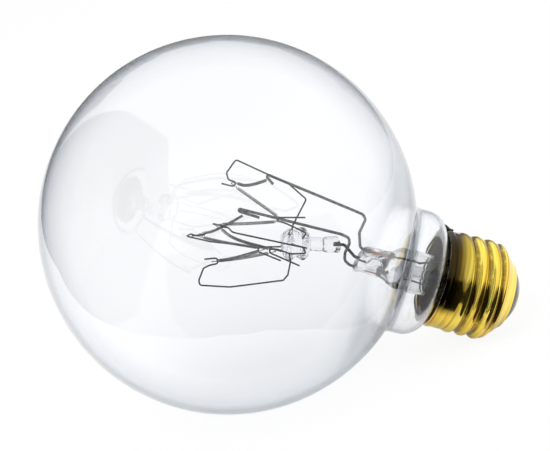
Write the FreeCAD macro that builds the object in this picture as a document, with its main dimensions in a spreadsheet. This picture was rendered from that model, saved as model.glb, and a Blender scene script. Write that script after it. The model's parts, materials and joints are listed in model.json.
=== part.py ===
import FreeCAD
import Part
import Sketcher
import math
import os

# Globe bulb with a medium screw base, lying as it comes to rest: the globe and the last full crest
# of the shell touch the ground. Millimetres. The bulb is built along its own axis, X, from the
# globe's centre towards the contact, with Z up and Y away from the viewer, and is then laid down.

# name, value, what it is
SIZES = [
    ("globe_radius", 47.625, "outside of the blown globe, 95.25 across"),
    ("glass_wall", 0.6, "wall of the envelope"),
    ("neck_radius", 16.4, "outside of the short neck"),
    ("neck_blend", 4.0, "fillet between globe and neck"),
    ("neck_length", 2.08, "length of the straight neck, from its blend to its shoulder"),
    ("seal_reach", 7.7, "from the shell's rim to the seal of envelope and flare, inside it"),
    ("stem_radius", 5.5, "outside of the stem tube"),
    ("stem_wall", 0.8, "wall of the stem tube"),
    ("flare_edge", 0.9, "rim of the flare outside its curve"),
    ("stem_length", 28.1, "from the seal to the face of the pinched press"),
    ("press_length", 6.6, "length of the press"),
    ("press_width", 10.8, "width of the press"),
    ("press_thickness", 3.2, "thickness of the press"),
    ("press_turn", 55.0, "turn of the press about the axis, degrees"),
    ("press_taper", 5.0, "length from the press to the round tube"),
    ("press_step", 0.15, "the press ends this much inside the round tube"),
    ("exhaust_radius", 1.6, "outside of the exhaust tube"),
    ("exhaust_bore", 0.9, "bore radius of the exhaust tube"),
    ("exhaust_gap", 3.1, "from the melted tip of the exhaust tube to the insulator"),
    ("lead_spacing", 8.4, "distance between the leads in the press"),
    ("lead_diameter", 0.75, "inner lead"),
    ("lead_grip", 1.7, "length of inner lead inside the press"),
    ("seal_wire_length", 5.0, "length of the wire that makes the seal"),
    ("seal_wire_diameter", 0.5, "wire that makes the seal"),
    ("outer_lead_diameter", 0.5, "lead from the press to the base"),
    ("cane_reach", 16.7, "from the face of the press to the centre of the cane's big button"),
    ("cane_drop", 0.5, "big button below the axis"),
    ("cane_depth", 1.3, "big button behind the axis"),
    ("cane_rise", 12.5, "upward slant of the cane, degrees"),
    ("cane_recede", 7.5, "slant of the cane away from the viewer, degrees"),
    ("button_radius", 4.0, "big button"),
    ("button_length", 6.6, "big button, both lumps"),
    ("button_waist", 0.5, "depth of the groove between the two lumps"),
    ("rod_radius", 1.75, "rod of the cane"),
    ("rod_length", 4.4, "free length of the rod"),
    ("foot_radius", 2.2, "small button at the foot of the cane"),
    ("foot_length", 4.4, "small button at the foot of the cane"),
    ("cane_wire_diameter", 0.8, "wire between the cane and the press"),
    ("cane_wire_grip", 2.0, "length of cane wire inside each glass"),
    ("support_diameter", 0.42, "support wire"),
    ("support_grip", 1.9, "length of support wire inside the button"),
    ("hook_clearance", 0.06, "play of the filament in a hook"),
    ("filament_diameter", 0.88, "outside of the filament's coil"),
    ("shell_gap", 0.6, "from the end of the envelope's shoulder to the rim of the shell"),
    ("shell_radius", 13.1, "crest radius of the rolled thread"),
    ("shell_sheet", 0.3, "sheet of the shell"),
    ("band_inset", 0.4, "the plain band at the rim is this much inside the crests"),
    ("shoulder_gap", 0.213, "from the last root to the start of the shell's shoulder"),
    ("knee_length", 2.5, "from the start of the shoulder to its knee"),
    ("knee_inset", 2.6, "the knee is this much inside the crests"),
    ("lip_length", 1.8, "from the knee to the lip round the insulator"),
    ("lip_inset", 4.2, "the edge of the lip is this much inside the crests"),
    ("lip_width", 1.3, "width of the lip, turned in round the insulator"),
    ("thread_pitch", 3.629, "pitch of the rolled thread"),
    ("thread_arc", 1.191, "crest and root radius of the rolled thread"),
    ("thread_land", 0.3, "narrow land on each crest"),
    ("thread_place", 4.2, "first root from the rim"),
    ("thread_count", 4, "roots of the thread"),
    ("insulator_height", 2.3, "insulator beyond the lip"),
    ("insulator_lap", 0.6, "the insulator laps this far over the lip"),
    ("insulator_nose", 5.3, "insulator at the contact"),
    ("insulator_collar", 1.2, "thickness of the collar inside the lip"),
    ("insulator_bore", 1.2, "hole for the centre lead"),
    ("contact_radius", 4.9, "centre contact"),
    ("contact_sheet", 0.4, "thickness of the centre contact"),
    ("contact_hub", 1.6, "length of the contact's hub"),
    ("contact_bore", 0.3, "hole radius of the contact's hub"),
    ("solder_radius", 3.2, "solder on the centre contact"),
    ("solder_height", 0.8, "height of the solder"),
    ("cement_gap", 1.6, "between the seat of the envelope and the wall of the shell"),
    ("cement_start", 0.8, "cement from the rim"),
    ("cement_length", 6.2, "length of the cement"),
    ("side_solder_radius", 1.5, "blob of solder at the rim"),
    ("roll", 17.5, "turn of the resting bulb about its own axis, the viewer's side up, degrees"),
]

doc = FreeCAD.newDocument("globe_bulb")
sheet = doc.addObject("Spreadsheet::Sheet", "Sizes")
for row, (name, value, note) in enumerate(SIZES, start=1):
    sheet.set("A%d" % row, name)
    sheet.set("B%d" % row, str(value))
    sheet.set("C%d" % row, note)
    sheet.setAlias("B%d" % row, name)
doc.recompute()

V = FreeCAD.Vector
AXIS = V(1, 0, 0)


class Term:
    """A size taken or worked out from the sheet: its number, and the formula that a property is bound to."""

    def __init__(self, number, formula):
        self.number = float(number)
        self.formula = formula

    def __add__(self, other):
        other = term(other)
        return Term(self.number + other.number, "(%s + %s)" % (self.formula, other.formula))

    def __sub__(self, other):
        other = term(other)
        return Term(self.number - other.number, "(%s - %s)" % (self.formula, other.formula))

    def __mul__(self, other):
        other = term(other)
        return Term(self.number * other.number, "(%s * %s)" % (self.formula, other.formula))

    def __truediv__(self, other):
        other = term(other)
        return Term(self.number / other.number, "(%s / %s)" % (self.formula, other.formula))

    def __neg__(self):
        return Term(-self.number, "(0 - %s)" % self.formula)


def term(value):
    return value if isinstance(value, Term) else Term(value, repr(float(value)))


def size(name):
    return Term(sheet.get(name), "Sizes.%s" % name)


def root(value):
    return Term(math.sqrt(value.number), "sqrt(%s)" % value.formula)


class Arc:
    """Bends the edge that leads to the next point. A hollow arc has its centre above the edge."""

    def __init__(self, radius, hollow=False):
        self.radius = term(radius)
        self.hollow = hollow


def arc_geometry(start, end, radius, hollow):
    """A circular arc between two points, its centre below the chord, or above it where it is hollow."""
    chord = end - start
    middle = (start + end) / 2
    normal = V(-chord.y, chord.x, 0).normalize()
    if (normal.y > 0) != hollow:
        normal = -normal
    centre = middle + normal * math.sqrt(max(radius ** 2 - (chord.Length / 2) ** 2, 0))
    first, last = [math.atan2(p.y - centre.y, p.x - centre.x) for p in (start, end)]
    forward = (last - first) % (2 * math.pi) <= math.pi
    circle = Part.Circle(centre, V(0, 0, 1), radius)
    if forward:
        return Part.ArcOfCircle(circle, first, last), 1
    return Part.ArcOfCircle(circle, last, first), 2


def outline(body, name, path):
    """A closed sketch in the XZ plane through the points of the path, bound to the sheet throughout."""
    sketch = body.newObject("Sketcher::SketchObject", name)
    plane = [f for f in body.Origin.OriginFeatures if f.Role == "XZ_Plane"][0]
    sketch.AttachmentSupport = [(plane, "")]
    sketch.MapMode = "FlatFace"
    points = [(term(x), term(r)) for x, r in [p for p in path if not isinstance(p, Arc)]]
    bends = {}
    count = 0
    for item in path:
        if isinstance(item, Arc):
            bends[count - 1] = item
        else:
            count += 1
    starts = []
    for i, (x, r) in enumerate(points):
        here = V(x.number, r.number, 0)
        after = V(points[(i + 1) % count][0].number, points[(i + 1) % count][1].number, 0)
        if i in bends:
            shape, first = arc_geometry(here, after, bends[i].radius.number, bends[i].hollow)
        else:
            shape, first = Part.LineSegment(here, after), 1
        starts.append((sketch.addGeometry(shape, False), first))
    for i in range(count):
        edge, first = starts[i]
        following, opening = starts[(i + 1) % count]
        sketch.addConstraint(Sketcher.Constraint("Coincident", edge, 3 - first, following, opening))
    for i, (x, r) in enumerate(points):
        edge, first = starts[i]
        bind(sketch, Sketcher.Constraint("DistanceX", -1, 1, edge, first, x.number), x)
        if r.number == 0:
            sketch.addConstraint(Sketcher.Constraint("PointOnObject", edge, first, -1))
        else:
            bind(sketch, Sketcher.Constraint("DistanceY", -1, 1, edge, first, r.number), r)
        if i in bends:
            radius = bends[i].radius
            bind(sketch, Sketcher.Constraint("Radius", edge, radius.number), radius)
    return sketch


def bind(sketch, constraint, value):
    index = sketch.addConstraint(constraint)
    sketch.setExpression("Constraints[%d]" % index, value.formula)


def turned(label, path):
    """A body turned about the bulb's axis from the half section that the path gives."""
    body = doc.addObject("PartDesign::Body", label)
    sketch = outline(body, label + "_section", path)
    turn = body.newObject("PartDesign::Revolution", label + "_turn")
    turn.Profile = sketch
    turn.ReferenceAxis = (sketch, ["H_Axis"])
    turn.Angle = 360
    doc.recompute()
    return body


def cut_round(label, body, tools):
    """The body with room for the pieces that it holds."""
    held = doc.addObject("Part::Compound", label + "_held")
    held.Links = tools
    cut = doc.addObject("Part::Cut", label + "_cut")
    cut.Base = body
    cut.Tool = held
    doc.recompute()
    return cut


# Glass envelope: globe, blended neck, shoulder, seat
R = size("globe_radius")
WALL = size("glass_wall")
NECK = size("neck_radius")
BLEND = size("neck_blend")
SHELL_R = size("shell_radius")
SHEET = size("shell_sheet")
SEAT = SHELL_R - SHEET - size("cement_gap")

blend_height = NECK + BLEND
blend_place = root((R + BLEND) * (R + BLEND) - blend_height * blend_height)
SHOULDER = blend_place + size("neck_length")
SHOULDER_R = NECK - SEAT
RIM = SHOULDER + SHOULDER_R + size("shell_gap")
SEAL = RIM + size("seal_reach")
meet = R / (R + BLEND)
inside = R - WALL
inner_meet = inside / (R + BLEND)


def make_globe():
    return turned("globe_turned", [
        (-R, 0), Arc(R),
        (blend_place * meet, blend_height * meet), Arc(BLEND, hollow=True),
        (blend_place, NECK),
        (SHOULDER, NECK), Arc(SHOULDER_R),
        (SHOULDER + SHOULDER_R, SEAT),
        (SEAL, SEAT),
        (SEAL, SEAT - WALL),
        (SHOULDER + SHOULDER_R - WALL, SEAT - WALL), Arc(SHOULDER_R),
        (SHOULDER - WALL, NECK - WALL),
        (blend_place, NECK - WALL), Arc(BLEND + WALL, hollow=True),
        (blend_place * inner_meet, blend_height * inner_meet), Arc(inside),
        (-inside, 0),
    ])


# Stations along the screw shell, from its rim to the contact, and the section of its thread
PITCH = size("thread_pitch")
ROLL = size("thread_arc")
half_pitch = PITCH / 2
roll_sine = half_pitch / (ROLL * 2)
roll_cosine = root(Term(1, "1") - roll_sine * roll_sine)
THREAD_DEPTH = ROLL * 2 * (Term(1, "1") - roll_cosine)
FIRST_ROOT = RIM + size("thread_place")
SHELL_SHOULDER = FIRST_ROOT + PITCH * (size("thread_count") - 1) + size("shoulder_gap")
KNEE = SHELL_SHOULDER + size("knee_length")
LIP = KNEE + size("lip_length")
LIP_R = SHELL_R - size("lip_inset")
LIP_BORE = LIP_R - size("lip_width")
BAND_R = SHELL_R - size("band_inset")
CONTACT = LIP + size("insulator_height")
CONTACT_FACE = CONTACT + size("contact_sheet")
COLLAR = LIP - SHEET - size("insulator_collar")
EXHAUST_TIP = COLLAR - size("exhaust_gap")

# Stem: flare and tube turned in one, and the press pinched flat, turned about the axis to suit the leads
STEM = size("stem_radius")
STEM_WALL = size("stem_wall")
PRESS = SEAL - size("stem_length")
PRESS_END = PRESS + size("press_length")
TUBE_START = PRESS_END + size("press_taper")
FLARE = SEAT - STEM - size("flare_edge")
PRESS_TURN = size("press_turn")


def ellipse(name, place, half_width, half_height):
    """A section of the press, square to the axis, its long side along Z."""
    section = doc.addObject("Part::Ellipse", name)
    section.setExpression("MajorRadius", half_width.formula)
    section.setExpression("MinorRadius", half_height.formula)
    section.Placement = FreeCAD.Placement(V(place.number, 0, 0), FreeCAD.Rotation(V(0, 0, 1), V(1, 0, 0)))
    section.setExpression(".Placement.Base.x", place.formula)
    return section


def make_stem(wires):
    tube = turned("stem_tube", [
        (TUBE_START, 0),
        (TUBE_START, STEM),
        (SEAL - FLARE, STEM), Arc(FLARE, hollow=True),
        (SEAL, STEM + FLARE),
        (SEAL, SEAT),
        (SEAL + STEM_WALL, SEAT),
        (SEAL + STEM_WALL, STEM + FLARE), Arc(FLARE + STEM_WALL, hollow=True),
        (SEAL - FLARE, STEM - STEM_WALL),
        (TUBE_START + STEM_WALL, STEM - STEM_WALL),
        (TUBE_START + STEM_WALL, 0),
    ])
    half_width = size("press_width") / 2
    half_height = size("press_thickness") / 2
    press = doc.addObject("Part::Loft", "press")
    press.Sections = [
        ellipse("press_face", PRESS, half_width, half_height),
        ellipse("press_root", PRESS_END, half_width, half_height),
        ellipse("press_neck", TUBE_START, STEM - size("press_step"), STEM - size("press_step") * 2),
    ]
    press.Solid = True
    press.Ruled = True
    press.setExpression(".Placement.Rotation.Angle", PRESS_TURN.formula)
    press.Placement = FreeCAD.Placement(V(0, 0, 0), FreeCAD.Rotation(AXIS, PRESS_TURN.number))
    fused = doc.addObject("Part::MultiFuse", "stem_fused")
    fused.Shapes = [tube, press]
    doc.recompute()
    return cut_round("stem_glass", fused, wires)


def make_exhaust_tube():
    outside = size("exhaust_radius")
    bore = size("exhaust_bore")
    start = TUBE_START + STEM_WALL
    return turned("exhaust_turned", [
        (start, bore),
        (start, outside),
        (EXHAUST_TIP - outside, outside), Arc(outside),
        (EXHAUST_TIP, 0),
        (EXHAUST_TIP - (outside - bore), 0), Arc(bore),
        (EXHAUST_TIP - outside, bore),
    ])


# Wires: straight runs joined by tangent arcs


def polar(x, radius, angle):
    """A point of the bulb at a distance from the axis, its angle from the top towards the viewer."""
    turn = math.radians(angle)
    return V(x, -radius * math.sin(turn), radius * math.cos(turn))


def inner(place, radius, angle):
    """A point inside the globe, its place counted from the face of the press."""
    return polar(PRESS.number + place, radius, angle)


def wire_path(points, bend):
    """Edges of the path, each corner rounded by the bend radius, or by less where a run is short."""
    edges = []
    start = points[0]
    for before, corner, after in zip(points, points[1:], points[2:]):
        back = (before - corner).normalize()
        on = (after - corner).normalize()
        half = back.getAngle(on) / 2
        room = 0.45 * min((before - corner).Length, (after - corner).Length)
        trim = min(bend / math.tan(half), room)
        radius = trim * math.tan(half)
        towards = (back + on).normalize()
        middle = corner + towards * (radius / math.sin(half) - radius)
        first, last = corner + back * trim, corner + on * trim
        if (first - start).Length > 0.001:
            edges.append(Part.LineSegment(start, first).toShape())
        edges.append(Part.Arc(first, middle, last).toShape())
        start = last
    edges.append(Part.LineSegment(start, points[-1]).toShape())
    return edges


def make_wire(label, points, diameter, bend):
    """A round wire along the points, which are set by hand or by the glass that holds the wire."""
    spine = Part.Wire(wire_path(points, bend))
    ring = Part.Circle(points[0], points[1] - points[0], diameter / 2).toShape()
    tube = spine.makePipeShell([Part.Wire(ring)], True, False)
    wire = doc.addObject("Part::Feature", label)
    wire.Shape = tube
    expected = math.pi * diameter ** 2 / 4 * spine.Length
    if abs(tube.Volume - expected) > 0.02 * expected:
        raise ValueError("%s has a volume of %.2f where %.2f is due" % (label, tube.Volume, expected))
    return wire


LEAD = size("lead_diameter").number
LEAD_BEND = 1.2
press_axis = polar(0, size("lead_spacing").number / 2, PRESS_TURN.number)
LEAD_SEAT = {"upper": press_axis, "lower": -press_axis}
# Where each inner lead runs, from above the press to its fold round the end of the filament.
# Points inside the globe are counted from the face of the press: place, distance from the axis, angle.
LEAD_ROUTE = {
    "upper": [(-1.3, 6.3, -5), (-0.6, 8.7, -12), (0.1, 10.6, -17), (-0.9, 11.7, -17), (-2.9, 12.0, -16.7),
              (-29.0, 15.6, -15.1)],
    "lower": [(-3.3, 1.6, 200), (-3.6, 0.9, -60), (-3.0, 3.2, -20), (-3.3, 4.7, -22), (-5.3, 5.4, -28),
              (-31.9, 10.1, -62.9), (-31.9, 9.2, -64.5)],
}
LEAD_TAIL = {"upper": (-25.7, 13.5, -17.5), "lower": (-26.3, 9.0, -66)}


def make_inner_leads():
    leads = []
    for side, seat in LEAD_SEAT.items():
        grip = PRESS.number + size("lead_grip").number
        route = [seat + V(grip, 0, 0), seat + V(PRESS.number - 1.0, 0, 0)]
        route += [inner(*point) for point in LEAD_ROUTE[side]]
        route.append(inner(*LEAD_TAIL[side]))
        leads.append(make_wire(side + "_inner_wire", route, LEAD, LEAD_BEND))
    return leads


def make_seal_wires():
    wires = []
    for side, seat in LEAD_SEAT.items():
        wire = doc.addObject("Part::Cylinder", side + "_seal")
        wire.setExpression("Radius", (size("seal_wire_diameter") / 2).formula)
        wire.setExpression("Height", size("seal_wire_length").formula)
        place = V(PRESS.number + size("lead_grip").number, 0, 0) + seat
        wire.Placement = FreeCAD.Placement(place, FreeCAD.Rotation(V(0, 0, 1), AXIS))
        wires.append(wire)
    return wires


# Outer leads: the upper one comes out over the shell's rim, the lower one goes to the centre contact
OUTER = size("outer_lead_diameter").number
OUTER_BEND = 0.45


def make_outer_leads():
    start = (PRESS + size("lead_grip") + size("seal_wire_length")).number
    clear = TUBE_START.number + 3.0
    seal = (SEAL + STEM_WALL).number
    gap = (SEAT.number + SHELL_R.number - SHEET.number - (THREAD_DEPTH).number) / 2
    rim = RIM.number
    over = BAND_R.number + OUTER / 2 + 0.05
    under = over - 2 * OUTER_BEND
    turn = OUTER_BEND + 0.02
    shell_lead = [V(start, 0, 0) + LEAD_SEAT["upper"], V(clear, 0, 0) + LEAD_SEAT["upper"]]
    shell_lead += [polar(*point) for point in (
        (seal - 8.0, 4.0, 5), (seal - 1.0, 3.8, 0), (seal + 1.6, 6.5, 0), (seal + 1.6, gap, 0),
        (rim + 2.6, gap, 0), (rim + 1.2, under, 0), (rim - turn, under, 0), (rim - turn, over, 0),
        (rim + 2.2, over, 0))]
    tip = EXHAUST_TIP.number
    contact_lead = [V(start, 0, 0) + LEAD_SEAT["lower"], V(clear, 0, 0) + LEAD_SEAT["lower"]]
    contact_lead += [polar(*point) for point in (
        (seal - 6.0, 3.2, 205), (tip - 3.0, 2.4, 185), (tip + 0.6, 2.3, 180), (tip + 2.8, 0, 0))]
    contact_lead.append(V(CONTACT_FACE.number, 0, 0))
    return [
        make_wire("shell_wire", shell_lead, OUTER, OUTER_BEND),
        make_wire("contact_wire", contact_lead, OUTER, 1.5),
    ]


# Glass cane with its two buttons, on a wire that slants up from the press
CANE_HALF = size("button_length") / 2
CANE_LENGTH = size("rod_length") + size("foot_length")


def cane_placement():
    rise = FreeCAD.Rotation(V(0, 1, 0), -size("cane_rise").number)
    recede = FreeCAD.Rotation(V(0, 0, 1), size("cane_recede").number)
    place = (PRESS - size("cane_reach")).number
    base = V(place, size("cane_depth").number, -size("cane_drop").number)
    return FreeCAD.Placement(base, recede.multiply(rise))


def make_cane(wires):
    button = size("button_radius")
    rounding = button / 4
    waist = size("button_waist")
    rod = size("rod_radius")
    foot = size("foot_radius")
    foot_start = CANE_HALF + size("rod_length")
    end = foot_start + size("foot_length")
    foot_edge = foot / 3
    body = turned("cane_body", [
        (-CANE_HALF, 0),
        (-CANE_HALF, button - rounding), Arc(rounding),
        (rounding - CANE_HALF, button),
        (-waist, button),
        (0, button - waist),
        (waist, button),
        (CANE_HALF - rounding, button), Arc(rounding),
        (CANE_HALF, button - rounding),
        (CANE_HALF, rod),
        (foot_start, rod),
        (foot_start, foot - foot_edge), Arc(foot_edge),
        (foot_start + foot_edge, foot),
        (end - foot_edge, foot), Arc(foot_edge),
        (end, foot - foot_edge),
        (end, 0),
    ])
    body.Placement = cane_placement()
    return cut_round("cane", body, wires)


def make_cane_wire():
    place = cane_placement()
    end = (CANE_HALF + CANE_LENGTH).number
    grip = size("cane_wire_grip").number
    route = [
        place.multVec(V(end - grip, 0, 0)),
        place.multVec(V(end + 1.2, 0, 0)),
        V(PRESS.number - 1.0, 0, 0),
        V(PRESS.number + grip, 0, 0),
    ]
    return make_wire("cane_holder", route, size("cane_wire_diameter").number, 1.0)


# Support wires: four long brackets reach forward round the filament, three short hooks hold its near ends
SUPPORT = size("support_diameter").number
COIL = size("filament_diameter").number
HOOK = (SUPPORT + COIL) / 2 + size("hook_clearance").number
FORWARD, BACK = -1, 1
# Middle of each hook, its way round the filament, the seat along the cane, and the wire's route to it
SUPPORTS = {
    "top_bracket": ((-36.9, 10.6, 15), FORWARD, -1.5, [
        (-17.6, 11.4, 13), (-23.0, 14.1, 14.3), (-37.8, 16.8, 15.5), (-39.1, 12.9, 15.5)]),
    "near_bracket": ((-37.4, 10.0, 93.7), FORWARD, -1.5, [
        (-15.9, 11.0, 94), (-35.8, 16.4, 95), (-36.5, 12.4, 93)]),
    "bottom_bracket": ((-36.0, 9.8, 176), FORWARD, -1.5, [
        (-17.0, 8.7, 175), (-17.8, 10.3, 175), (-30.7, 15.2, 176), (-38.3, 16.6, 176), (-38.8, 15.4, 176),
        (-38.4, 12.2, 176)]),
    "far_bracket": ((-39.6, 10.6, 245.5), FORWARD, -1.5, [
        (-19.8, 6.6, 249), (-24.1, 12.6, 252), (-36.3, 16.5, 250), (-42.7, 17.0, 250), (-42.1, 13.0, 248)]),
    "top_hook": ((-23.8, 9.3, 62), BACK, 1.5, [(-18.9, 5.6, 52)]),
    "near_hook": ((-23.5, 7.9, 117), BACK, 1.5, [(-18.3, 4.9, 132)]),
    "far_hook": ((-24.2, 7.4, 236), BACK, 1.5, [(-18.9, 5.0, 228)]),
}
TAILS = {"top_hook": (-17.9, 10.8, 53), "near_hook": (-16.1, 9.6, 125), "far_hook": (-18.3, 8.8, 229)}


FILAMENT_ENDS = [(-27.8, 13.9, -16.5), (-30.7, 8.86, -69.5)]
FILAMENT_ORDER = ["top_bracket", "top_hook", "near_bracket", "near_hook", "bottom_bracket", "far_hook",
                  "far_bracket"]
SETTLING = 30


def filament_route():
    """Corners whose rounding passes through the middle of each hook, and the pull of the coil at each."""
    first, last = [inner(*point) for point in FILAMENT_ENDS]
    middles = [inner(*SUPPORTS[name][0]) for name in FILAMENT_ORDER]
    corners = list(middles)
    pulls = {}
    for _ in range(SETTLING):
        for i, middle in enumerate(middles):
            before = corners[i - 1] if i else first
            after = corners[i + 1] if i + 1 < len(corners) else last
            back = (before - corners[i]).normalize()
            on = (after - corners[i]).normalize()
            reach = HOOK / math.sin(back.getAngle(on) / 2) - HOOK
            pull = (back + on).normalize()
            across = back.cross(on).normalize()
            corners[i] = middle - pull * reach
            pulls[FILAMENT_ORDER[i]] = (pull, across)
    return [first] + corners + [last], pulls


def hook_points(middle, pull, across):
    """The wire's way round the filament: an open loop that the coil pulls against."""
    bottom = middle + pull * HOOK
    return [middle - pull * HOOK * 2 + across * HOOK, bottom + across * HOOK, bottom - across * HOOK,
            middle - pull * HOOK * 3.6 - across * HOOK * 1.4]


def make_supports(pulls):
    place = cane_placement()
    along = place.Rotation.multVec(AXIS)
    button = size("button_radius").number
    grip = size("support_grip").number
    wires = []
    for name, (middle, opening, seat, route) in SUPPORTS.items():
        points = [inner(*point) for point in route]
        centre = place.multVec(V(seat, 0, 0))
        out = points[0] - centre
        out = (out - along * out.dot(along)).normalize()
        pull, across = pulls[name]
        outward = polar(0, 1, middle[2])
        if across.dot(outward) * opening > 0:
            across = -across
        loop = hook_points(inner(*middle), pull, across)
        if name in TAILS:
            loop[-1] = inner(*TAILS[name])
        start = [centre + out * (button - grip), centre + out * (button + 0.8)]
        wires.append(make_wire(name + "_wire", start + points + loop, SUPPORT, HOOK))
    return wires


# Filament: one coil in eight spans, slung between the leads and round the seven hooks


def make_filament(route):
    return make_wire("coil", route, COIL, HOOK)


# Screw shell: a blank and a cavity, each with the rolled roots, so that the sheet is even throughout


def rolled(label, inset, rim, lip):
    """The shell's outside, or the space inside it, which lies in by the sheet."""
    top = SHELL_R - inset
    shoulder = SHELL_SHOULDER - inset / 3
    knee = KNEE - inset / 2
    knee_radius = SHELL_R - size("knee_inset") - inset
    body = turned(label, [
        (rim, 0),
        (rim, BAND_R - inset),
        (FIRST_ROOT, BAND_R - inset),
        (FIRST_ROOT, top),
        (shoulder, top), Arc(ROLL * 3),
        (knee, knee_radius), Arc(ROLL * 3),
        (lip, LIP_R - inset),
        (lip, 0),
    ])
    root_arc = ROLL + inset
    crest_arc = ROLL - inset
    centre = FIRST_ROOT
    flank = root_arc * roll_sine
    flank_height = top - THREAD_DEPTH + root_arc - root_arc * roll_cosine
    land = size("thread_land") / 2
    edge = half_pitch - land
    edge_height = top - crest_arc + root(crest_arc * crest_arc - land * land)
    above = top + 1
    section = outline(body, label + "_root", [
        (centre - edge, above),
        (centre - edge, edge_height), Arc(crest_arc),
        (centre - flank, flank_height), Arc(root_arc, hollow=True),
        (centre + flank, flank_height), Arc(crest_arc),
        (centre + edge, edge_height),
        (centre + edge, above),
    ])
    groove = body.newObject("PartDesign::Groove", label + "_groove")
    groove.Profile = section
    groove.ReferenceAxis = (section, ["H_Axis"])
    groove.Angle = 360
    doc.recompute()
    pattern = body.newObject("PartDesign::LinearPattern", label + "_thread")
    pattern.Originals = [groove]
    axis = [f for f in body.Origin.OriginFeatures if f.Role == "X_Axis"][0]
    pattern.Direction = (axis, [""])
    count = size("thread_count")
    pattern.Occurrences = int(count.number)
    pattern.setExpression("Occurrences", count.formula)
    pattern.setExpression("Length", (PITCH * (count - 1)).formula)
    body.Tip = pattern
    doc.recompute()
    return body


def make_shell():
    blank = rolled("shell_blank", Term(0, "0"), RIM, LIP)
    cavity = rolled("shell_cavity", SHEET, RIM - SHEET * 6, LIP - SHEET)
    start = LIP - SHEET * 3
    bore = doc.addObject("Part::Cylinder", "lip_hole")
    bore.setExpression("Radius", LIP_BORE.formula)
    bore.setExpression("Height", (SHEET * 6).formula)
    bore.Placement = FreeCAD.Placement(V(start.number, 0, 0), FreeCAD.Rotation(V(0, 0, 1), AXIS))
    bore.setExpression(".Placement.Base.x", start.formula)
    return blank, cavity, cut_round("shell", blank, [cavity, bore])


def make_cement(cavity, lead):
    start = RIM + size("cement_start")
    end = start + size("cement_length")
    ring = turned("cement_ring", [(start, SEAT), (start, SHELL_R), (end, SHELL_R), (end, SEAT)])
    filled = doc.addObject("Part::Common", "cement_filled")
    filled.Base = ring
    filled.Tool = cavity
    return cut_round("cement", filled, [lead])


# Foot of the base: moulded insulator through the lip, centre contact, solder


def make_insulator():
    bore = size("insulator_bore")
    inner = LIP - SHEET
    collar_radius = LIP_R - SHEET * 4
    outer = LIP_BORE + size("insulator_lap")
    return turned("insulator_turned", [
        (COLLAR, bore),
        (COLLAR, collar_radius),
        (inner, collar_radius),
        (inner, LIP_BORE),
        (LIP, LIP_BORE),
        (LIP, outer), Arc(outer),
        (CONTACT, size("insulator_nose")),
        (CONTACT, bore),
    ])


def make_contact():
    bore = size("contact_bore")
    hub = size("insulator_bore")
    radius = size("contact_radius")
    sheet_edge = size("contact_sheet")
    return turned("contact_turned", [
        (CONTACT - size("contact_hub"), bore),
        (CONTACT - size("contact_hub"), hub),
        (CONTACT, hub),
        (CONTACT, radius), Arc(sheet_edge),
        (CONTACT_FACE, radius - sheet_edge),
        (CONTACT_FACE, bore),
    ])


def make_centre_solder():
    radius = size("solder_radius")
    height = size("solder_height")
    dome = (radius * radius + height * height) / (height * 2)
    return turned("solder_turned", [
        (CONTACT_FACE, 0),
        (CONTACT_FACE, radius), Arc(dome),
        (CONTACT_FACE + height, 0),
    ])


def make_side_solder(blank, lead):
    blob = doc.addObject("Part::Ellipsoid", "side_solder_blob")
    radius = size("side_solder_radius")
    blob.setExpression("Radius1", (radius * 0.6).formula)
    blob.setExpression("Radius2", radius.formula)
    blob.setExpression("Radius3", (radius * 0.8).formula)
    place = RIM + radius + 0.2
    blob.Placement = FreeCAD.Placement(V(place.number, 0, BAND_R.number), FreeCAD.Rotation())
    blob.setExpression(".Placement.Base.x", place.formula)
    blob.setExpression(".Placement.Base.z", BAND_R.formula)
    return cut_round("solder_at_rim", blob, [blank, lead])


coil_route, coil_pulls = filament_route()
upper_inner, lower_inner = make_inner_leads()
upper_seal, lower_seal = make_seal_wires()
shell_wire, contact_wire = make_outer_leads()
cane_holder = make_cane_wire()
supports = make_supports(coil_pulls)
blank, cavity, shell = make_shell()
insulator = make_insulator()
contact = make_contact()
solder = make_centre_solder()
in_press = [upper_inner, lower_inner, upper_seal, lower_seal, shell_wire, contact_wire, cane_holder]

PIECES = {
    "glass_globe": make_globe(),
    "stem": make_stem(in_press),
    "exhaust_tube": make_exhaust_tube(),
    "glass_cane": make_cane(supports + [cane_holder]),
    "cane_wire": cane_holder,
    "inner_lead_upper": upper_inner,
    "inner_lead_lower": lower_inner,
    "seal_wire_upper": upper_seal,
    "seal_wire_lower": lower_seal,
    "outer_lead_shell": shell_wire,
    "outer_lead_contact": contact_wire,
    "filament": make_filament(coil_route),
    "screw_shell": shell,
    "basing_cement": make_cement(cavity, shell_wire),
    "insulator": insulator,
    "centre_contact": contact,
    "centre_solder": solder,
    "side_solder": make_side_solder(blank, shell_wire),
}
for support_name, wire in zip(SUPPORTS, supports):
    PIECES["support_" + support_name] = wire


# Resting place: the bulb tips until its base touches, then stands with the middle of its box at the origin


def turned_profile(pieces):
    """Places along the axis and distances from it, of the surfaces that may touch the ground."""
    points = []
    for piece in pieces:
        points += [(p.x, math.hypot(p.y, p.z)) for p in piece.Shape.tessellate(0.02)[0]]
    return points


def rest_placement():
    radius = R.number
    profile = turned_profile([shell, insulator, contact, solder])
    tilt = min(math.atan2(x, r) - math.acos(radius / math.hypot(x, r)) for x, r in profile)
    reach = max(x * math.cos(tilt) + r * math.sin(tilt) for x, r in profile)
    roll = FreeCAD.Rotation(AXIS, -size("roll").number)
    dip = FreeCAD.Rotation(V(0, 1, 0), math.degrees(tilt))
    print("rest tilt %.3f degrees, length on the ground %.2f" % (math.degrees(tilt), reach + radius))
    return FreeCAD.Placement(V((radius - reach) / 2, 0, radius), dip.multiply(roll))


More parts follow.
